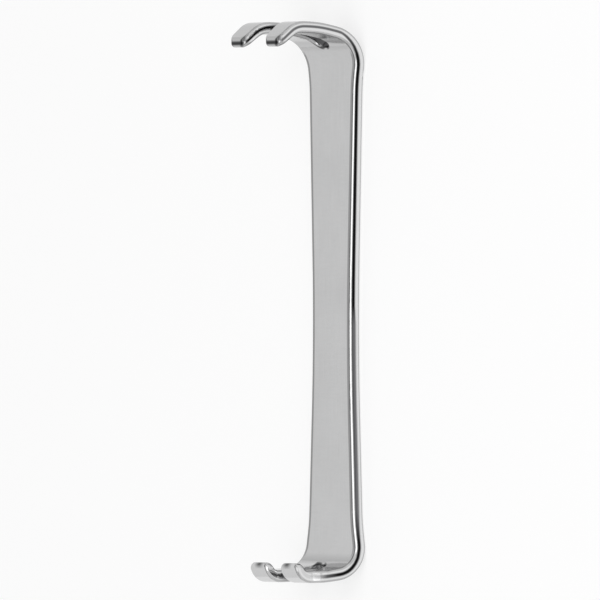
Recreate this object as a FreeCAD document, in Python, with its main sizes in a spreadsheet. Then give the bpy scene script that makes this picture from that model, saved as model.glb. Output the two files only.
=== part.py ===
import FreeCAD, Part
import math
import os

# A double-ended fork retractor: one bent strap of steel lying on its back.
# X runs across the strap, Y along it and Z up its two arms.
# The flat back rests on Z = 0, and the length is centred on Y = 0.

doc = FreeCAD.newDocument("retractor")
sheet = doc.addObject("Spreadsheet::Sheet", "sizes")

# Millimetres and degrees; each share is a part of the run that it divides
SIZES = [
    ("overall_length", 150.0),
    ("waist_width", 18.1),
    ("waist_shift", -9.0),
    ("shoulder_width", 22.4),
    ("shoulder_inset", 16.0),
    ("bend_width", 25.6),
    ("bend_inset", 8.0),
    ("fork_width", 27.2),
    ("tip_span_upper", 25.0),
    ("tip_span_lower", 23.2),
    ("back_thick_upper", 3.1),
    ("back_thick_lower", 3.3),
    ("blade_thick_upper", 3.1),
    ("blade_thick_lower", 3.3),
    ("bend_radius_upper", 11.4),
    ("bend_radius_lower", 9.5),
    ("curl_radius_upper", 6.8),
    ("curl_radius_lower", 4.8),
    ("lean_upper", 11.5),
    ("lean_lower", 7.5),
    ("brow_share", 0.44),
    ("knee_height_upper", 20.3),
    ("knee_height_lower", 17.0),
    ("curl_angle_upper", 40.0),
    ("curl_angle_lower", 82.0),
    ("tip_angle_upper", 0.0),
    ("tip_angle_lower", 90.0),
    ("tip_thick_upper", 2.75),
    ("tip_thick_lower", 1.95),
    ("tip_taper_upper", 3.0),
    ("tip_taper_lower", 25.0),
    ("tip_straight_upper", 4.2),
    ("tip_straight_lower", 1.2),
    ("slot_width", 6.0),
    ("slot_mouth_upper", 9.2),
    ("slot_mouth_lower", 6.6),
    ("slot_root_upper", 41.0),
    ("slot_root_lower", 54.0),
    ("slot_rise", 12.0),
    ("slot_depth", 16.0),
    ("tip_corner_upper", 2.2),
    ("tip_corner_lower", 1.7),
    ("tip_cut", 9.0),
    ("edge_round", 0.9),
    ("flare_height", 10.0),
    ("flare_share", 0.45),
    ("mouth_share", 0.6),
    ("curve_share", 0.42),
    ("side_run", 1.2),
    ("overlap", 0.3),
    ("margin", 2.0),
    ("sharp_angle", 25.0),
]
for row, (name, value) in enumerate(SIZES, start=1):
    sheet.set("A%d" % row, name)
    sheet.set("B%d" % row, str(value))
    sheet.setAlias("B%d" % row, name)
doc.recompute()


def size(name):
    return float(sheet.get(name))


def angle(name):
    return math.radians(size(name))


def meet(p, d, q, e):
    """Point where the line through p along d crosses the line through q along e."""
    cross = d[0] * e[1] - d[1] * e[0]
    reach = ((q[0] - p[0]) * e[1] - (q[1] - p[1]) * e[0]) / cross
    return (p[0] + d[0] * reach, p[1] + d[1] * reach)


def unit(p, q):
    """Direction from p to q."""
    length = math.hypot(q[0] - p[0], q[1] - p[1])
    return ((q[0] - p[0]) / length, (q[1] - p[1]) / length)


def half_angle(before, after):
    """Half of the angle between two directions."""
    return math.acos(before[0] * after[0] + before[1] * after[1]) / 2


def eased(x, y, run):
    """A corner rounded by the curve that takes this much run on each of its sides."""
    return (x, y, -run)


def joint(corner, previous, following):
    """Start, middle and end of the arc that rounds one corner."""
    x, y, radius = corner
    if radius == 0:
        return ((x, y), None, (x, y))
    before = unit((x, y), previous[:2])
    after = unit((x, y), following[:2])
    half = half_angle(before, after)
    middle = unit((0, 0), (before[0] + after[0], before[1] + after[1]))
    if radius < 0:
        radius = -radius * math.tan(half)
    cut = radius / math.tan(half)
    away = radius / math.sin(half) - radius
    return (
        (x + before[0] * cut, y + before[1] * cut),
        (x + middle[0] * away, y + middle[1] * away),
        (x + after[0] * cut, y + after[1] * cut),
    )


def rounded(corners):
    """Lines and arcs of a closed outline given as corners (x, y, curve)."""
    count = len(corners)
    joints = [joint(corners[i], corners[i - 1], corners[(i + 1) % count]) for i in range(count)]
    pieces = []
    for i, (start, through, end) in enumerate(joints):
        following = joints[(i + 1) % count][0]
        if through:
            pieces.append(Part.Arc(*[FreeCAD.Vector(*point, 0) for point in (start, through, end)]))
        if math.dist(following, end) > 1e-6:
            pieces.append(Part.LineSegment(FreeCAD.Vector(*end, 0), FreeCAD.Vector(*following, 0)))
    return pieces


def mirrored(outline):
    return [(-x, y, radius) for x, y, radius in outline]


def arm(side, end, back, rising):
    """Outer and inner corners of one arm in (along, up), from the back to the tip."""
    lean = angle("lean" + end)
    curl = angle("curl_angle" + end)
    cut = angle("tip_angle" + end)
    bend = size("bend_radius" + end)
    curled = size("curl_radius" + end)
    knee = size("knee_height" + end)
    blade = size("blade_thick" + end)
    top = size("overall_length") / 2
    along = (math.sin(lean), math.cos(lean))
    down = (-math.sin(curl), math.cos(curl))

    bend_end = bend * math.tan(math.pi / 4 - lean / 2) * math.cos(lean)
    half = size("brow_share") * (knee - bend_end)
    brow = half / math.tan(lean / 2)
    brow_corner = (top, knee - half)
    back_corner = meet((0, 0), (1, 0), brow_corner, along)
    curl_corner = (top, knee + curled * math.tan(curl / 2))
    tip_run = curled * math.tan(curl / 2) + size("tip_straight" + end)
    tip = (curl_corner[0] + down[0] * tip_run, curl_corner[1] + down[1] * tip_run)

    tip_thick = size("tip_thick" + end)
    taper = curl - angle("tip_taper" + end)
    down_in = (-math.sin(taper), math.cos(taper))
    plate_in = (brow_corner[0] - math.cos(lean) * blade, brow_corner[1] + math.sin(lean) * blade)
    straight_in = (tip[0] - math.cos(curl) * tip_thick, tip[1] - math.sin(curl) * tip_thick)
    back_in = meet((0, back), rising, plate_in, along)
    brow_in = meet(plate_in, along, (top - blade, 0), (0, 1))
    curl_in = meet(brow_in, (0, 1), straight_in, down_in)
    tip_in = meet(tip, (math.cos(cut), math.sin(cut)), straight_in, down_in)

    outer = [(*back_corner, bend), (*brow_corner, brow), (*curl_corner, curled), (*tip, 0)]
    inner = [(*tip_in, 0), (*curl_in, curled - blade), (*brow_in, brow - blade), (*back_in, bend - back)]
    return [[(side * y, z, radius) for y, z, radius in run] for run in (outer, inner)]


length = size("overall_length")
back_thick = (size("back_thick_upper") + size("back_thick_lower")) / 2
rise = (size("back_thick_upper") - size("back_thick_lower")) / length
upper_out, upper_in = arm(1, "_upper", back_thick, (1, rise))
lower_out, lower_in = arm(-1, "_lower", back_thick, (1, -rise))
side_outline = upper_out + upper_in + lower_in[::-1] + lower_out[::-1]

body = doc.addObject("PartDesign::Body", "retractor")
body.Label = "retractor"


def plane(role):
    """The body's own origin plane of that role."""
    return [feature for feature in body.Origin.OriginFeatures if feature.Role == role][0]


def sketch(name, role, outlines, offset=None):
    """A sketch on one of the body's own planes holding closed rounded outlines."""
    item = body.newObject("Sketcher::SketchObject", name)
    item.AttachmentSupport = [(plane(role), "")]
    item.MapMode = "FlatFace"
    if offset:
        item.AttachmentOffset = offset
    for outline in outlines:
        item.addGeometry(rounded(outline), False)
    doc.recompute()
    return item


def tilted(y, z, turn):
    """A sketch plane moved to (y, z) and turned about the X axis."""
    return FreeCAD.Placement(FreeCAD.Vector(0, y, z), FreeCAD.Rotation(FreeCAD.Vector(1, 0, 0), turn))


def pocket(name, profile, length_rule, reversed_side=False, midplane=False):
    """A pocket that has to take material off the body."""
    before = body.Shape.Volume
    cut = body.newObject("PartDesign::Pocket", name)
    cut.Profile = profile
    cut.Reversed = reversed_side
    cut.Midplane = midplane
    cut.setExpression("Length", length_rule)
    body.Tip = cut
    doc.recompute()
    if not body.Shape.Volume < before:
        raise RuntimeError("%s removed nothing" % name)
    return cut


# Side outline padded across the full width of the forks
profile = sketch("side_profile", "YZ_Plane", [side_outline])
blank = body.newObject("PartDesign::Pad", "blank")
blank.Profile = profile
blank.Midplane = True
blank.setExpression("Length", "sizes.fork_width + sizes.margin")
body.Tip = blank
doc.recompute()

# Hourglass sides of the back
outside = size("fork_width")
bend_half = size("bend_width") / 2
shoulder = size("shoulder_width") / 2
share = size("curve_share")
shoulder_run = share * (size("shoulder_inset") - size("bend_inset"))
waist_run = share * (length / 2 - size("shoulder_inset") - abs(size("waist_shift")))
half_run = [
    (bend_half, length, 0),
    eased(bend_half, length / 2 - size("bend_inset"), shoulder_run),
    eased(shoulder, length / 2 - size("shoulder_inset"), shoulder_run),
]
hourglass = [(outside, -length, 0)]
hourglass += [(x, -y, curve) for x, y, curve in half_run]
hourglass += [eased(size("waist_width") / 2, size("waist_shift"), waist_run)]
hourglass += half_run[::-1]
hourglass += [(outside, length, 0)]
plan = sketch("hourglass_plan", "XY_Plane", [hourglass, mirrored(hourglass)])
pocket("waisted_back", plan, "sizes.flare_height", reversed_side=True)


def fork(name, lower, tip, end):
    """Trims one arm to its flare and splits it into two prongs."""
    reach = 2 * tip[1]
    root = size("flare_height")
    wide = size("fork_width") / 2
    tips = size("tip_span" + end) / 2
    slot = size("slot_width") / 2
    mouth = size("slot_mouth" + end) / 2

    corner = size("tip_corner" + end)
    cut = angle("tip_angle" + end)
    taper = angle("tip_taper" + end)
    slant = cut - angle("curl_angle" + end) + taper
    across = size("tip_thick" + end) * math.cos(taper) / math.cos(slant) + corner * math.tan(max(0, slant))
    clear = across * math.sin(cut) + corner * math.cos(cut)
    low = root + size("side_run")
    high = tip[1] - clear - size("side_run")
    widest = low + size("flare_share") * (high - low)
    opening = low + size("mouth_share") * (high - low)
    flare_run = share * (widest - low)
    mouth_run = share * (high - opening)
    last_run = 2 * share * size("side_run")

    flare = [
        (outside, -1, 0),
        (bend_half, -1, 0),
        eased(bend_half, low, last_run),
        eased(wide, widest, flare_run),
        eased(tips, high, last_run),
        (tips, reach, 0),
        (outside, reach, 0),
    ]
    gap_side = [
        (slot, root + size("overlap"), 0),
        eased(slot, opening, mouth_run),
        eased(mouth, high, last_run),
        (mouth, reach, 0),
    ]
    gap = gap_side + mirrored(gap_side)[::-1]
    outline = sketch(name + "_outline", "XZ_Plane", [flare, mirrored(flare), gap])
    return pocket(name + "_cut", outline, "sizes.overall_length", reversed_side=lower)


def slot_root(name, lower, inner_corner, leg_a, leg_b, turn):
    """Round root of a slot, cut square through the bend at the given turn."""
    before = unit(inner_corner[:2], leg_a[:2])
    after = unit(inner_corner[:2], leg_b[:2])
    bisector = unit((0, 0), (before[0] + after[0], before[1] + after[1]))
    away = inner_corner[2] / math.sin(half_angle(before, after))
    centre = [inner_corner[i] + bisector[i] * away for i in (0, 1)]
    offset = tilted(*centre, 180 - turn if lower else turn)
    slot = size("slot_width") / 2
    rise = size("slot_rise")
    outline = [(-slot, 0, slot), (slot, 0, slot), (slot, rise, 0), (-slot, rise, 0)]
    item = sketch(name + "_outline", "XY_Plane", [outline], offset)
    return pocket(name + "_cut", item, "sizes.slot_depth", reversed_side=lower)


def tip_ends(name, lower, tip, end):
    """Rounds the four corners of the two prong tips, along the cut of their ends."""
    turn = size("tip_angle" + end)
    offset = tilted(tip[0], tip[1], 90 - turn if lower else 90 + turn)
    corner = size("tip_corner" + end)
    margin = size("margin")
    outlines = []
    for name_of_edge, inward in (("tip_span", -1), ("slot_mouth", 1)):
        edge = size(name_of_edge + end) / 2
        flat = edge + inward * corner
        clear = edge - inward * size("side_run")
        outline = [
            (edge, 0, corner),
            (edge, -corner, 0),
            (clear, -corner, 0),
            (clear, margin, 0),
            (flat, margin, 0),
            (flat, 0, 0),
        ]
        outlines += [outline, mirrored(outline)]
    item = sketch(name + "_outline", "XY_Plane", outlines, offset)
    return pocket(name + "_cut", item, "sizes.tip_cut", midplane=True)


# Prongs, slots and tips at both ends
middle = (0, back_thick)
fork("upper_fork", False, upper_out[3], "_upper")
fork("lower_fork", True, lower_out[3], "_lower")
slot_root("upper_root", False, upper_in[3], middle, upper_in[2], size("slot_root_upper"))
slot_root("lower_root", True, lower_in[3], middle, lower_in[2], size("slot_root_lower"))
tip_ends("upper_tips", False, upper_out[3], "_upper")
last = tip_ends("lower_tips", True, lower_out[3], "_lower")


def sharp_edges(shape):
    """Names of the edges whose two faces meet at a sharp angle."""
    names = []
    for number, edge in enumerate(shape.Edges, start=1):
        faces = shape.ancestorsOfType(edge, Part.Face)
        if len(faces) != 2:
            continue
        point = edge.valueAt(sum(edge.ParameterRange) / 2)
        first, second = [face.normalAt(*face.Surface.parameter(point)) for face in faces]
        if first.getAngle(second) > angle("sharp_angle"):
            names.append("Edge%d" % number)
    return names


# Soft rounding of every rim
rims = body.newObject("PartDesign::Fillet", "rounded_rims")
rims.Base = (last, sharp_edges(last.Shape))
rims.setExpression("Radius", "sizes.edge_round")
body.Tip = rims
doc.recompute()

for item in doc.Objects:
    if "Invalid" in item.State or "Error" in item.State:
        raise RuntimeError("%s is not up to date: %s" % (item.Name, item.State))
shape = body.Shape
if shape.isNull() or not shape.isValid() or len(shape.Solids) != 1:
    raise RuntimeError("the retractor is not one valid solid")

os.makedirs("parts", exist_ok=True)
shape.exportStep("parts/retractor.step")
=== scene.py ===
import math

import bmesh
import bpy
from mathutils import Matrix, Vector


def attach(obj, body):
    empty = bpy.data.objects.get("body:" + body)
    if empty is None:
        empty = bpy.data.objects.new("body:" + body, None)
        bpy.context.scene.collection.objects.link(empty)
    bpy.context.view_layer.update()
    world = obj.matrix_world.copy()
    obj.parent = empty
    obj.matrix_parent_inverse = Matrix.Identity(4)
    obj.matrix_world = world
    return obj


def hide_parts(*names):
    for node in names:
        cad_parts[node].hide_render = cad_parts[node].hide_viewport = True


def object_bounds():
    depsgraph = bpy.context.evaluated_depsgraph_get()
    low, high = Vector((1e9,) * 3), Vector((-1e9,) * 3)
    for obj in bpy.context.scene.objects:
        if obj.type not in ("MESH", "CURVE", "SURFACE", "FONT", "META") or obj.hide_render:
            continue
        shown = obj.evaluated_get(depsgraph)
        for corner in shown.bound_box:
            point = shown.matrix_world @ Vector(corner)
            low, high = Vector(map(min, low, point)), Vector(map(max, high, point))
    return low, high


# A double-ended fork retractor of polished steel, lying on its flat back.
# Metres; X across the strap, Y along it, Z up its two arms.

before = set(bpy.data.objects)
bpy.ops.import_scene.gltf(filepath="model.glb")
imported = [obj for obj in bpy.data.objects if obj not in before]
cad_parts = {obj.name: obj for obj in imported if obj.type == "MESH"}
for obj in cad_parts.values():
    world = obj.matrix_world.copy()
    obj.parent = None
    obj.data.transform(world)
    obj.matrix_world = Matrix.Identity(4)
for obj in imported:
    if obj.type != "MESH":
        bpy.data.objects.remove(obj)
cad_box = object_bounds()
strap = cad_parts["retractor"]

MM = 0.001


# Shader helpers

def new_material(name):
    material = bpy.data.materials.new(name)
    material.use_nodes = True
    tree = material.node_tree
    tree.nodes.clear()
    output = tree.nodes.new("ShaderNodeOutputMaterial")
    shader = tree.nodes.new("ShaderNodeBsdfPrincipled")
    tree.links.new(shader.outputs["BSDF"], output.inputs["Surface"])
    return material, tree, shader


def noise(tree, vector, scale, detail):
    node = tree.nodes.new("ShaderNodeTexNoise")
    node.inputs["Scale"].default_value = scale
    node.inputs["Detail"].default_value = detail
    tree.links.new(vector, node.inputs["Vector"])
    return node.outputs["Fac"]


def spread(tree, value, from_low, from_high, to_low=0, to_high=1):
    node = tree.nodes.new("ShaderNodeMapRange")
    node.inputs["From Min"].default_value = from_low
    node.inputs["From Max"].default_value = from_high
    node.inputs["To Min"].default_value = to_low
    node.inputs["To Max"].default_value = to_high
    tree.links.new(value, node.inputs["Value"])
    return node.outputs["Result"]


def combine(tree, operation, first, second=0):
    node = tree.nodes.new("ShaderNodeMath")
    node.operation = operation
    for socket, value in zip(node.inputs, (first, second)):
        if isinstance(value, (int, float)):
            socket.default_value = value
        else:
            tree.links.new(value, socket)
    return node.outputs["Value"]


def times(tree, first, *others):
    for other in others:
        first = combine(tree, "MULTIPLY", first, other)
    return first


def lessened(tree, value, parts):
    """A value less the amount that each mask takes from it."""
    for mask, amount in parts:
        value = combine(tree, "SUBTRACT", value, times(tree, mask, amount))
    return value


def band(tree, value, start, full, end, gone):
    """0 below start, 1 from full to end, and 0 again past gone."""
    rising = spread(tree, value, start, full)
    falling = spread(tree, value, end, gone, 1, 0)
    return times(tree, rising, falling)


def stretched(tree, vector, scale):
    node = tree.nodes.new("ShaderNodeMapping")
    node.inputs["Scale"].default_value = scale
    tree.links.new(vector, node.inputs["Vector"])
    return node.outputs["Vector"]


def blend(tree, factor, first, second):
    node = tree.nodes.new("ShaderNodeMix")
    node.data_type = "RGBA"
    tree.links.new(factor, node.inputs["Factor"])
    for name, value in (("A", first), ("B", second)):
        if isinstance(value, tuple):
            node.inputs[name].default_value = (*value, 1)
        else:
            tree.links.new(value, node.inputs[name])
    return node.outputs["Result"]


def tinted(color, factor):
    return tuple(channel * factor for channel in color)


def grey_ramp(tree, value, stops):
    """The grey at a value from 0 to 1, between stops that each say a place and a tone."""
    node = tree.nodes.new("ShaderNodeValToRGB")
    elements = node.color_ramp.elements
    while len(elements) < len(stops):
        elements.new(0.5)
    for element, (place, tone) in zip(elements, stops):
        element.position = place
        element.color = (tone, tone, tone, 1)
    tree.links.new(value, node.inputs["Fac"])
    return node.outputs["Color"]


# Polish of the steel

# How fine each pattern is along X, Y and Z, and the range of a noise that it uses.
LINE_GRAIN = (4200, 90, 900)
CROSS_GRAIN = (260, 2600, 2600)
CROSS_STRENGTH = 0.5
CLOUD_GRAIN = 60
WAVE_GRAIN = 22
NOISE_RANGE = (0.3, 0.7)
LINE_HEIGHT = 0.02


def polish_group():
    """Fine polishing lines along the strap, fainter ones across it, and soft cloudiness."""
    group = bpy.data.node_groups.new("steel polish", "ShaderNodeTree")
    for name in ("Lines", "Cloud"):
        group.interface.new_socket(name, in_out="INPUT", socket_type="NodeSocketFloat")
    for name in ("Tone", "Roughness", "Height"):
        group.interface.new_socket(name, in_out="OUTPUT", socket_type="NodeSocketFloat")
    entry = group.nodes.new("NodeGroupInput")
    leave = group.nodes.new("NodeGroupOutput")
    place = group.nodes.new("ShaderNodeTexCoord").outputs["Object"]
    lines = noise(group, stretched(group, place, LINE_GRAIN), scale=1, detail=3)
    cross = noise(group, stretched(group, place, CROSS_GRAIN), scale=1, detail=2)
    cloud = noise(group, place, CLOUD_GRAIN, detail=3)
    waves = noise(group, place, WAVE_GRAIN, detail=1)
    line_part = times(group, spread(group, lines, *NOISE_RANGE, -1, 1), entry.outputs["Lines"])
    cross_range = (-CROSS_STRENGTH, CROSS_STRENGTH)
    cross_part = times(group, spread(group, cross, *NOISE_RANGE, *cross_range), entry.outputs["Lines"])
    cloud_part = times(group, spread(group, cloud, *NOISE_RANGE, -1, 1), entry.outputs["Cloud"])
    streaks = combine(group, "ADD", line_part, cross_part)
    both = combine(group, "ADD", streaks, cloud_part)
    group.links.new(spread(group, both, -1, 1), leave.inputs["Tone"])
    group.links.new(both, leave.inputs["Roughness"])
    height = combine(group, "ADD", times(group, streaks, LINE_HEIGHT), waves)
    group.links.new(height, leave.inputs["Height"])
    return group


polish = polish_group()


# The strap's driving sizes, as far as its finish follows them

# Millimetres and degrees. A share is the part of a straight run that a curve takes up.
HALF_LENGTH = cad_box[1][1] / MM
UPPER_ARM = {"bend": 11.4, "lean": 11.5, "knee": 20.3, "curl": 6.8, "curl_turn": 40, "tip_run": 4.2}
LOWER_ARM = {"bend": 9.5, "lean": 7.5, "knee": 17.0, "curl": 4.8, "curl_turn": 82, "tip_run": 1.2}
BROW_SHARE = 0.44
WAIST = (-9, 9.05)
SHOULDER = (HALF_LENGTH - 16, 11.2)
FLARE = (HALF_LENGTH - 8, 12.8)
CURVE_SHARE = 0.42
SAME_PLACE = 0.0001
SIDE_STEPS = 8
PLAN_STEPS = 4


def outer_side(arm):
    """Outer side of one half as corners (along, up, run of the curve there)."""
    lean = math.radians(arm["lean"])
    turn = math.radians(arm["curl_turn"])
    bend_run = arm["bend"] * math.tan(math.pi / 4 - lean / 2)
    brow_run = BROW_SHARE * (arm["knee"] - bend_run * math.cos(lean))
    brow = arm["knee"] - brow_run
    curl_run = arm["curl"] * math.tan(turn / 2)
    curl = arm["knee"] + curl_run
    tip_run = curl_run + arm["tip_run"]
    return [
        (0, 0, 0),
        (HALF_LENGTH - brow * math.tan(lean), 0, bend_run),
        (HALF_LENGTH, brow, brow_run),
        (HALF_LENGTH, curl, curl_run),
        (HALF_LENGTH - tip_run * math.sin(turn), curl + tip_run * math.cos(turn), 0),
    ]


def plan_side():
    """Side of the back seen from above as corners (along, half width, run of the curve there)."""
    shoulder_run = CURVE_SHARE * (FLARE[0] - SHOULDER[0])
    waist_run = CURVE_SHARE * (SHOULDER[0] + WAIST[0])
    half = [(*SHOULDER, shoulder_run), (*FLARE, shoulder_run), (HALF_LENGTH, FLARE[1], 0)]
    return [(-along, wide, run) for along, wide, run in half[::-1]] + [(*WAIST, waist_run)] + half


def rounded_run(corners, steps):
    """Points of a path through these corners, each rounded by its own arc."""
    points = [Vector(corners[0][:2])]
    for before, (x, y, run), after in zip(corners, corners[1:], corners[2:]):
        corner = Vector((x, y))
        back = (Vector(before[:2]) - corner).normalized()
        ahead = (Vector(after[:2]) - corner).normalized()
        half = back.angle(ahead) / 2
        centre = corner + (back + ahead).normalized() * run / math.cos(half)
        first = corner + back * run - centre
        last = corner + ahead * run - centre
        radius = run * math.tan(half)
        for step in range(steps + 1):
            points.append(centre + first.lerp(last, step / steps).normalized() * radius)
    points.append(Vector(corners[-1][:2]))
    kept = [point for point, following in zip(points, points[1:])
            if (following - point).length > SAME_PLACE]
    return kept + points[-1:]


UPPER_OUTER_SIDE = rounded_run(outer_side(UPPER_ARM), SIDE_STEPS)
LOWER_OUTER_SIDE = rounded_run(outer_side(LOWER_ARM), SIDE_STEPS)


def depth_below(place):
    """Distance in millimetres from the strap's outer side to a point of its surface."""
    point = Vector((abs(place.y), place.z)) / MM
    side = UPPER_OUTER_SIDE if place.y > 0 else LOWER_OUTER_SIDE
    nearest = math.inf
    for start, end in zip(side, side[1:]):
        step = end - start
        share = min(1, max(0, (point - start).dot(step) / step.length_squared))
        nearest = min(nearest, (point - start - step * share).length)
    return nearest


def half_width_at(tree, along):
    """Half width of the back, in millimetres, read from a ramp of its rounded side."""
    points = rounded_run(plan_side(), PLAN_STEPS)
    stops = [((point.x / HALF_LENGTH + 1) / 2, point.y / HALF_LENGTH) for point in points]
    share = grey_ramp(tree, spread(tree, along, -HALF_LENGTH, HALF_LENGTH), stops)
    return times(tree, share, HALF_LENGTH)


# Finish of the steel

# Places and depths are in millimetres. A pair of numbers says where a mask is 0 and where it is 1.
# Four numbers say where a mask rises and where it falls again.
DEPTH_LAYER = "depth"
UPPER_HALF = (-1, 1)
UPPER_PRONG_HEIGHT = (14, 17)
LOWER_PRONG_HEIGHT = (9, 13)


def surface_places(tree):
    """Where a point of the strap lies, which way it faces, and how far it is on each half and prong."""
    coordinates = tree.nodes.new("ShaderNodeTexCoord").outputs["Object"]
    place = tree.nodes.new("ShaderNodeSeparateXYZ")
    tree.links.new(stretched(tree, coordinates, (1 / MM, 1 / MM, 1 / MM)), place.inputs["Vector"])
    x, y, z = place.outputs
    normal = tree.nodes.new("ShaderNodeSeparateXYZ")
    tree.links.new(tree.nodes.new("ShaderNodeNewGeometry").outputs["Normal"], normal.inputs["Vector"])
    layer = tree.nodes.new("ShaderNodeAttribute")
    layer.attribute_name = DEPTH_LAYER
    upper = spread(tree, y, *UPPER_HALF)
    lower = combine(tree, "SUBTRACT", 1, upper)
    return {
        "x": x,
        "y": y,
        "z": z,
        "half width": combine(tree, "ABSOLUTE", x),
        "from middle": combine(tree, "ABSOLUTE", y),
        "depth": layer.outputs["Fac"],
        "sideways": combine(tree, "ABSOLUTE", normal.outputs["X"]),
        "upward": normal.outputs["Z"],
        "upper": upper,
        "lower": lower,
        "upper prong": times(tree, upper, spread(tree, z, *UPPER_PRONG_HEIGHT)),
        "lower prong": times(tree, lower, spread(tree, z, *LOWER_PRONG_HEIGHT)),
    }


# Faces of the strap

# A tone is a share of the face's own colour.
FACE_COLOR = (0.66, 0.66, 0.663)
DARKEST_POLISH = 0.95
BRIGHTEST_POLISH = 1.05
# Tone of the painted dark reflections: the lines on and inside the rims, and the spot near the lower prong
# tips.
DARK_REFLECTION_TONE = 0.2
# Painted shade: a darker band across the faces just before the bends.
BEFORE_BENDS = (67.2, 69.2, 69.7, 70.3)
BEFORE_BENDS_STRENGTH = 0.45
BEFORE_BENDS_SHADE_TONE = 0.55
# Painted dark reflection lines: one on the rims where the faces start to turn, and a thin one set in from
# the back's sides.
RIM_BEGINS = (0.06, 0.16, 0.30, 0.48)
RIM_STRENGTH = 0.8
LOWER_PRONG_RIM_STRENGTH = 0.3
THIN_LINE_INSET = (0.75, 0.95, 1.35, 1.75)
THIN_LINE_FADES = (66, 71)
THIN_LINE_STRENGTH = 0.62
FLAT_UPWARD = (0.8, 0.9)
OUTSIDE_DEPTH = (0.6, 0.3)
# Painted shade on the upper prongs' outer faces, and painted light on the lower prongs' outer faces.
UPPER_OUTSIDE_SHADE_TONE = 0.86
LOWER_OUTSIDE_LIGHT_TONE = 1.1
# A painted dark reflection spot near the lower prong tips.
REFLECTION_SPOT_ACROSS = (4.4, 6.4, 7.2, 9.2)
REFLECTION_SPOT_ALONG = (69.2, 69.8, 70.2, 71.4)


def face_finish(tree, at, polish_tone):
    """Even polish, with painted shade before the bends, painted dark reflection lines on and inside the
    rims, painted shade on the upper prongs' outer faces, painted light on the lower prongs' outer faces,
    and a painted dark reflection spot near the lower prong tips.
    """
    def toned(face, mask, tone):
        return blend(tree, mask, face, tinted(FACE_COLOR, tone))

    darkest = tinted(FACE_COLOR, DARKEST_POLISH)
    brightest = tinted(FACE_COLOR, BRIGHTEST_POLISH)
    face = blend(tree, polish_tone, darkest, brightest)
    # Painted shade in a band just before the bends.
    shade_before_bends = times(tree, band(tree, at["from middle"], *BEFORE_BENDS), BEFORE_BENDS_STRENGTH)
    face = toned(face, shade_before_bends, BEFORE_BENDS_SHADE_TONE)

    # Painted dark reflection lines on the rims and just inside them.
    rim_strength = spread(tree, at["lower prong"], 0, 1, RIM_STRENGTH, LOWER_PRONG_RIM_STRENGTH)
    rim_reflection_line = times(tree, band(tree, at["sideways"], *RIM_BEGINS), rim_strength)
    face = toned(face, rim_reflection_line, DARK_REFLECTION_TONE)
    inset = combine(tree, "SUBTRACT", half_width_at(tree, at["y"]), at["half width"])
    fading = spread(tree, at["from middle"], *THIN_LINE_FADES, THIN_LINE_STRENGTH, 0)
    flat = spread(tree, at["upward"], *FLAT_UPWARD)
    thin_reflection_line = times(tree, band(tree, inset, *THIN_LINE_INSET), fading, flat)
    face = toned(face, thin_reflection_line, DARK_REFLECTION_TONE)

    # Painted shade on the upper prongs' outer faces, painted light on the lower prongs' outer faces.
    outside = spread(tree, at["depth"], *OUTSIDE_DEPTH)
    face = toned(face, times(tree, at["upper prong"], outside), UPPER_OUTSIDE_SHADE_TONE)
    face = toned(face, times(tree, at["lower prong"], outside), LOWER_OUTSIDE_LIGHT_TONE)
    # A painted dark reflection spot near the lower prong tips.
    across = band(tree, at["half width"], *REFLECTION_SPOT_ACROSS)
    along = band(tree, at["from middle"], *REFLECTION_SPOT_ALONG)
    return toned(face, times(tree, across, along, at["lower prong"]), DARK_REFLECTION_TONE)


# The sides: a lighter band of painted highlight on the flat sides, between rims with painted shade

# A lighter painted highlight on the flat sides, and the black of the painted shade.
SIDE_HIGHLIGHT_COLOR = (0.74, 0.74, 0.743)
SHADE_BLACK = (0, 0, 0)
INNER_DEPTH = (1.4, 1.8)
INNER_RIM_TURN = (0.35, 0.55)
INNER_RIM_SHADE_STRENGTH = 0.25
FLAT_SIDE_TURN = (0.90, 0.98)
OUTER_RIM_DEPTH = (0.75, 0.45)
OUTER_RIM_TURN = (0.3, 0.6)
OUTER_RIM_SHADE_TONE = 0.68
# Painted shade on the arms' side facets that face the window lamp.
WINDOW_SHADE_UPWARD = (0.475, 0.497)
WINDOW_SHADE_STRENGTH = 0.47
WINDOW_SHADE_HEIGHT = (12, 14)
WINDOW_SHADE_TURN = (0.55, 0.8)
OUTERMOST_WIDTH = (9, 10)


def side_finish(tree, at, face):
    """The faces' colour with the sides laid over it: painted shade on the inner and outer rims, a painted
    highlight on the flat sides, and painted shade on the arm facets that face the window lamp.
    """
    # Painted shade on the inner rims.
    inner = spread(tree, at["depth"], *INNER_DEPTH)
    inner_rim_shade = times(tree, spread(tree, at["sideways"], *INNER_RIM_TURN), inner, INNER_RIM_SHADE_STRENGTH)
    color = blend(tree, inner_rim_shade, face, SHADE_BLACK)
    # A lighter painted highlight on the flat sides.
    color = blend(tree, spread(tree, at["sideways"], *FLAT_SIDE_TURN), color, SIDE_HIGHLIGHT_COLOR)
    # Painted shade on the outer rims.
    outer = spread(tree, at["depth"], *OUTER_RIM_DEPTH)
    outer_rim_shade = times(tree, outer, spread(tree, at["sideways"], *OUTER_RIM_TURN))
    color = blend(tree, outer_rim_shade, color, tinted(FACE_COLOR, OUTER_RIM_SHADE_TONE))

    # Painted shade on the arms' side facets that face the window lamp.
    window_facing_shade = spread(tree, at["upward"], *WINDOW_SHADE_UPWARD, 0, WINDOW_SHADE_STRENGTH)
    on_arm = spread(tree, at["z"], *WINDOW_SHADE_HEIGHT)
    away_from_slot = combine(tree, "MAXIMUM", at["upper"], spread(tree, at["half width"], *OUTERMOST_WIDTH))
    on_side = spread(tree, at["sideways"], *WINDOW_SHADE_TURN)
    return blend(tree, times(tree, window_facing_shade, on_arm, away_from_slot, on_side), color, SHADE_BLACK)


# The painted dark reflection line along the sides

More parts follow.
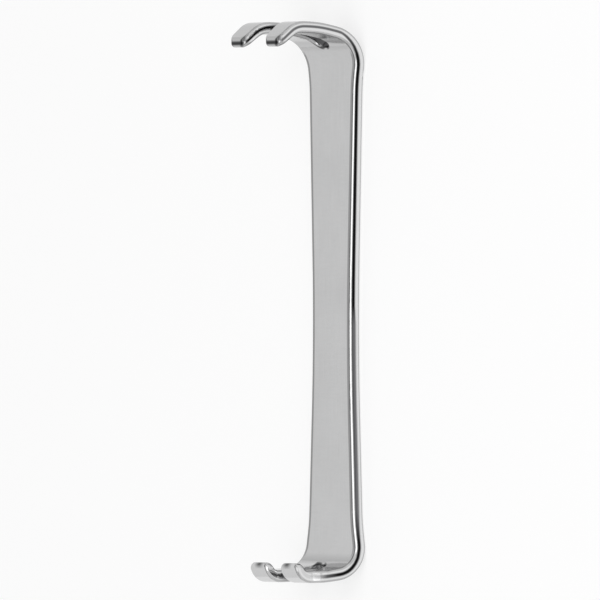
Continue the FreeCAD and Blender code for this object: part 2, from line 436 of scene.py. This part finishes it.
# Colours of the painted dark reflection line.
BLACK_REFLECTION_LINE = (0.006, 0.006, 0.006)
GREY_REFLECTION_LINE = (0.16, 0.16, 0.165)
INNER_GREY_REFLECTION = (0.06, 0.06, 0.062)
ARM_REFLECTION_LINE = (0.15, 0.15, 0.153)
LINE_START = 1.6
LINE_END = 2.75
START_LESS = {"up upper arm": 0.6, "grey part": 0.3, "lower bend": 0.5}
END_LESS = {"up upper arm": 1.0, "lower bend": 0.6}
LINE_EDGES = (-0.15, 0.25, 0.8, 1.15)
LINE_TURN = (0.74, 0.82)
INNER_GREY_PART = (0.5, 0.8)
UP_UPPER_ARM = (3, 8)
UP_LOWER_ARM = (9, 15)
LOWER_BEND = (67, 72)
GREY_BEGINS = (-1, -6)
GREY_ENDS = (-64, -56)
BESIDE_SLOT = (6, 7)
FADING_HEIGHT = (13, 17)
FADING = 0.8


def side_reflection_line(tree, at, lower_root_shade):
    """Mask and colour of the painted dark reflection line: black on the upper half of the back, in the
    bends and beside the upper slot, grey elsewhere, and fading out towards the lower tips."""
    masks = {
        "up upper arm": times(tree, spread(tree, at["z"], *UP_UPPER_ARM), at["upper"]),
        "up lower arm": times(tree, spread(tree, at["z"], *UP_LOWER_ARM), at["lower"]),
        "grey part": times(tree, spread(tree, at["y"], *GREY_BEGINS), spread(tree, at["y"], *GREY_ENDS)),
        "lower bend": times(tree, spread(tree, at["from middle"], *LOWER_BEND), at["lower"]),
    }
    start = lessened(tree, LINE_START, [(masks[name], less) for name, less in START_LESS.items()])
    end = lessened(tree, LINE_END, [(masks[name], less) for name, less in END_LESS.items()])
    past_start = combine(tree, "SUBTRACT", at["depth"], start)
    through = combine(tree, "DIVIDE", past_start, combine(tree, "SUBTRACT", end, start))
    mask = times(tree, band(tree, through, *LINE_EDGES), spread(tree, at["sideways"], *LINE_TURN))
    fading = times(tree, masks["up lower arm"], spread(tree, at["z"], *FADING_HEIGHT, 0, FADING))
    for hidden in (fading, lower_root_shade):
        mask = times(tree, mask, combine(tree, "SUBTRACT", 1, hidden))

    reflection_line_color = blend(tree, spread(tree, through, *INNER_GREY_PART), GREY_REFLECTION_LINE, INNER_GREY_REFLECTION)
    reflection_line_color = blend(tree, masks["grey part"], BLACK_REFLECTION_LINE, reflection_line_color)
    up_arm = combine(tree, "ADD", masks["up upper arm"], masks["up lower arm"])
    outer_flank = combine(tree, "MAXIMUM", spread(tree, at["half width"], *BESIDE_SLOT), at["lower"])
    return mask, blend(tree, times(tree, up_arm, outer_flank), reflection_line_color, ARM_REFLECTION_LINE)


# Painted shade in the round roots of the slots, and painted dark reflections on the ends of the upper
# prongs

# Colour of the painted shade in the slot roots.
ROOT_SHADE_COLOR = (0.08, 0.08, 0.082)
# Colour of the painted dark reflections on the upper prong ends.
END_REFLECTION_COLOR = (0.05, 0.05, 0.052)
UPPER_ROOT = {"along": 62.6, "up": 11.4, "turn": 41}
LOWER_ROOT = {"along": -64.9, "up": 9.5, "turn": 126}
ROOT_WALL = (-0.7, -0.2)
SLOT_EDGE = (3.5, 3.0)
UPPER_ROOT_DEPTH = (0.3, 0.9, 2.1, 2.8)
LOWER_ROOT_ACROSS = (-3.6, -2.9, -2.0, -0.8)
# Where the painted dark reflections lie on the upper prong ends.
END_ALONG = (68.6, 69.0, 69.5, 70.1)
END_HEIGHT = (27.2, 27.6)
CORNER_ALONG = (69.4, 70.0, 70.8, 71.6)
CORNER_HEIGHT = (26.4, 27.2)
CORNER_TURN = (0.3, 0.6)
CORNER_STRENGTH = 0.9


def slot_root(tree, at, root):
    """1 on the round wall that ends a slot, cut at its own turn through the bend."""
    turn = math.radians(root["turn"])
    run = times(tree, combine(tree, "SUBTRACT", at["y"], root["along"]), math.cos(turn))
    rise = times(tree, combine(tree, "SUBTRACT", at["z"], root["up"]), math.sin(turn))
    past = spread(tree, combine(tree, "ADD", run, rise), *ROOT_WALL)
    return times(tree, past, spread(tree, at["half width"], *SLOT_EDGE))


def prong_end_reflections(tree, at):
    """A painted dark reflection line across the ends of the upper prongs, and a painted dark reflection
    spot at their corners.
    """
    across_end = times(tree, band(tree, at["y"], *END_ALONG), spread(tree, at["z"], *END_HEIGHT))
    corner = times(tree, band(tree, at["y"], *CORNER_ALONG), spread(tree, at["z"], *CORNER_HEIGHT))
    corner = times(tree, corner, spread(tree, at["sideways"], *CORNER_TURN, 0, CORNER_STRENGTH))
    return combine(tree, "MAXIMUM", across_end, corner)


# The whole material

POLISH_LINES = 0.5
POLISH_CLOUD = 0.6
POLISHED_ROUGHNESS = 0.13
LINE_ROUGHNESS = 0.24
UNEVEN_ROUGHNESS = 0.05
EDGE_TINT = (0.84, 0.84, 0.84, 1)
RELIEF_STRENGTH = 0.2
RELIEF_HEIGHT = 0.02 * MM


def strap_steel():
    material, tree, shader = new_material("polished_steel")
    group = tree.nodes.new("ShaderNodeGroup")
    group.node_tree = polish
    group.inputs["Lines"].default_value = POLISH_LINES
    group.inputs["Cloud"].default_value = POLISH_CLOUD
    at = surface_places(tree)

    color = side_finish(tree, at, face_finish(tree, at, group.outputs["Tone"]))
    lower_root_shade = times(tree, slot_root(tree, at, LOWER_ROOT), at["lower"])
    upper_root_shade = times(tree, slot_root(tree, at, UPPER_ROOT), at["upper"])
    # The painted dark reflection line along the sides; the same mask also makes it rougher.
    painted_reflection_line, reflection_line_color = side_reflection_line(tree, at, lower_root_shade)
    color = blend(tree, painted_reflection_line, color, reflection_line_color)
    # Painted shade in the round slot roots.
    upper_root_shade = times(tree, upper_root_shade, band(tree, at["depth"], *UPPER_ROOT_DEPTH))
    lower_root_shade = times(tree, lower_root_shade, band(tree, at["x"], *LOWER_ROOT_ACROSS))
    color = blend(tree, combine(tree, "ADD", upper_root_shade, lower_root_shade), color, ROOT_SHADE_COLOR)
    # Painted dark reflections on the upper prong ends.
    color = blend(tree, prong_end_reflections(tree, at), color, END_REFLECTION_COLOR)
    tree.links.new(color, shader.inputs["Base Color"])

    uneven = times(tree, group.outputs["Roughness"], UNEVEN_ROUGHNESS)
    by_line = spread(tree, painted_reflection_line, 0, 1, POLISHED_ROUGHNESS, LINE_ROUGHNESS)
    tree.links.new(combine(tree, "ADD", uneven, by_line), shader.inputs["Roughness"])
    shader.inputs["Metallic"].default_value = 1
    shader.inputs["Specular Tint"].default_value = EDGE_TINT
    relief = tree.nodes.new("ShaderNodeBump")
    relief.inputs["Strength"].default_value = RELIEF_STRENGTH
    relief.inputs["Distance"].default_value = RELIEF_HEIGHT
    tree.links.new(group.outputs["Height"], relief.inputs["Height"])
    tree.links.new(relief.outputs["Normal"], shader.inputs["Normal"])
    return material


steel = strap_steel()


# The strap: the solid's own surface, merged, with true rounded rims

MERGED_WITHIN = 0.0005 * MM
LARGE_FACES_LEAD = 100


def polished_strap():
    mesh = strap.data.copy()
    mesh.name = "polished_strap"
    mesh.materials.clear()
    mesh.materials.append(steel)
    work = bmesh.new()
    work.from_mesh(mesh)
    bmesh.ops.remove_doubles(work, verts=work.verts, dist=MERGED_WITHIN)
    depth = work.verts.layers.float.new(DEPTH_LAYER)
    for vertex in work.verts:
        vertex[depth] = depth_below(vertex.co)
    for face in work.faces:
        face.smooth = True
    work.to_mesh(mesh)
    work.free()
    piece = bpy.data.objects.new("polished_strap", mesh)
    bpy.context.scene.collection.objects.link(piece)
    even = piece.modifiers.new("even_shading", "WEIGHTED_NORMAL")
    even.mode = "FACE_AREA"
    even.weight = LARGE_FACES_LEAD
    even.keep_sharp = False
    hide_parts("retractor")
    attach(piece, "root")


polished_strap()


# Floor, window light and studio walls

def stage_plane(name, size, material):
    work = bmesh.new()
    bmesh.ops.create_grid(work, x_segments=1, y_segments=1, size=size / 2)
    mesh = bpy.data.meshes.new(name)
    work.to_mesh(mesh)
    work.free()
    mesh.materials.append(material)
    plane = bpy.data.objects.new(name, mesh)
    bpy.context.scene.collection.objects.link(plane)
    return plane


FLOOR_COLOR = (0.88, 0.88, 0.88, 1)
FLOOR_ROUGHNESS = 0.8
FLOOR_SHINE = 0.1
FLOOR_WHITENING = 0.65
FLOOR_SIZE = 8
FLOOR_GAP = 0.05 * MM


def pale_floor():
    """A pale matt floor that camera, mirror and glass rays see whiter, with its shadow kept."""
    material, tree, shader = new_material("pale_floor")
    shader.inputs["Base Color"].default_value = FLOOR_COLOR
    shader.inputs["Roughness"].default_value = FLOOR_ROUGHNESS
    shader.inputs["Specular IOR Level"].default_value = FLOOR_SHINE
    glow = tree.nodes.new("ShaderNodeEmission")
    glow.inputs["Strength"].default_value = 1
    rays = tree.nodes.new("ShaderNodeLightPath").outputs
    seen = combine(tree, "MAXIMUM", rays["Is Camera Ray"], rays["Is Glossy Ray"])
    seen = combine(tree, "MAXIMUM", seen, rays["Is Transmission Ray"])
    share = times(tree, seen, FLOOR_WHITENING)
    mix = tree.nodes.new("ShaderNodeMixShader")
    tree.links.new(share, mix.inputs["Fac"])
    tree.links.new(shader.outputs["BSDF"], mix.inputs[1])
    tree.links.new(glow.outputs["Emission"], mix.inputs[2])
    output = [node for node in tree.nodes if node.type == "OUTPUT_MATERIAL"][0]
    tree.links.new(mix.outputs["Shader"], output.inputs["Surface"])
    return material


floor = stage_plane("floor", FLOOR_SIZE, pale_floor())
floor.location.z = -FLOOR_GAP

WINDOW_PLACE = (1.06, 0.0, 1.06)
WINDOW_WIDTH = 1.7
WINDOW_HEIGHT = 1.1
WINDOW_POWER = 10


def softbox(name, place, aim, width, height, power):
    data = bpy.data.lights.new(name, "AREA")
    data.shape = "RECTANGLE"
    data.size = width
    data.size_y = height
    data.energy = power
    lamp = bpy.data.objects.new(name, data)
    bpy.context.scene.collection.objects.link(lamp)
    lamp.location = place
    lamp.rotation_euler = (Vector(aim) - Vector(place)).to_track_quat("-Z", "Y").to_euler()


softbox("window_box", WINDOW_PLACE, (0, 0, 0), WINDOW_WIDTH, WINDOW_HEIGHT, WINDOW_POWER)

# Degrees from straight up towards +X, and the tone there: a grey wall beyond the far side, a dim gap
# high up and a bright wall on the near side.
WALL_TONES = [
    (-180, 0.80),
    (-38, 0.80),
    (-26, 0.25),
    (-8, 0.25),
    (6, 1.10),
    (100, 1.10),
    (180, 0.80),
]
HALF_TURN = 180

world = bpy.data.worlds.new("studio")
bpy.context.scene.world = world
world.use_nodes = True
sky = world.node_tree
direction = sky.nodes.new("ShaderNodeTexCoord").outputs["Generated"]
parts = sky.nodes.new("ShaderNodeSeparateXYZ")
sky.links.new(direction, parts.inputs["Vector"])
swing = combine(sky, "ARCTAN2", parts.outputs["X"], parts.outputs["Z"])
stops = [((degrees + HALF_TURN) / (2 * HALF_TURN), tone) for degrees, tone in WALL_TONES]
wall_tone = grey_ramp(sky, spread(sky, swing, -math.pi, math.pi), stops)
background = sky.nodes["Background"]
sky.links.new(wall_tone, background.inputs["Color"])
background.inputs["Strength"].default_value = 1.0


# Camera at the photo's angle, looking down on the strap's inner face

TURN = math.radians(57)
DISTANCE = 4.0
NEAREST_SEEN = 0.01
FARTHEST_SEEN = 50
SENSOR_WIDTH = 36
PIXELS_PER_METRE = 3730
FRAME_PIXELS = 600

# A point near the middle of the strap's inner face, and the pixel where it shows.
ANCHOR = Vector((0, 0, 3.4 * MM))
ANCHOR_PIXEL = (330.2, 302.2)

camera_data = bpy.data.cameras.new("camera")
camera_data.sensor_width = SENSOR_WIDTH
camera_data.lens = SENSOR_WIDTH * DISTANCE / (FRAME_PIXELS / PIXELS_PER_METRE)
camera_data.clip_start = NEAREST_SEEN
camera_data.clip_end = FARTHEST_SEEN
camera = bpy.data.objects.new("camera", camera_data)
bpy.context.scene.collection.objects.link(camera)
right = Vector((math.cos(TURN), 0, -math.sin(TURN)))
toward = Vector((math.sin(TURN), 0, math.cos(TURN)))
up = Vector((0, 1, 0))
half_frame = FRAME_PIXELS / 2
target = ANCHOR + right * ((half_frame - ANCHOR_PIXEL[0]) / PIXELS_PER_METRE)
target += up * ((ANCHOR_PIXEL[1] - half_frame) / PIXELS_PER_METRE)
camera.location = target + toward * DISTANCE
camera.rotation_euler = (0, TURN, 0)
bpy.context.scene.camera = camera

bpy.context.scene.view_settings.view_transform = "Standard"
